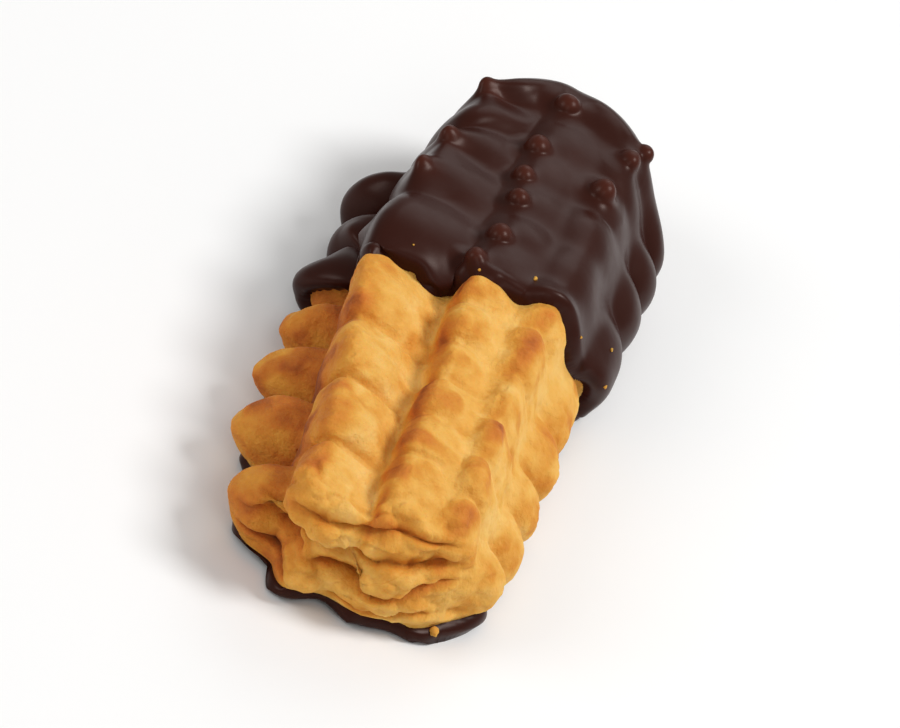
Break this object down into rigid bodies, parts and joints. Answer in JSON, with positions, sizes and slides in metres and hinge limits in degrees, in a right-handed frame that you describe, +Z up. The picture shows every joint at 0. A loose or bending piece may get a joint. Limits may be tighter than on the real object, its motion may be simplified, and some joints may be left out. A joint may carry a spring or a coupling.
{
  "type": "chocolate-dipped butter biscuit",
  "caption": "Piped, ridged butter biscuit bar with a flat base, its far half and whole underside coated in dark chocolate.",
  "frame": {"origin": "centre of the bounding box's base, on the surface that the biscuit rests on", "axes": "+X along the bar towards its bare end, +Y across it, +Z up from its flat underside"},
  "size_m": [0.0754, 0.0326, 0.0156],
  "materials": {
    "baked_dough": "matte baked butter dough, golden, toasted on its crests",
    "dark_chocolate": "satin dark chocolate"
  },
  "bodies": {
    "root": {"biscuit": "baked_dough", "chocolate_coat": "dark_chocolate"}
  },
  "joints": []
}
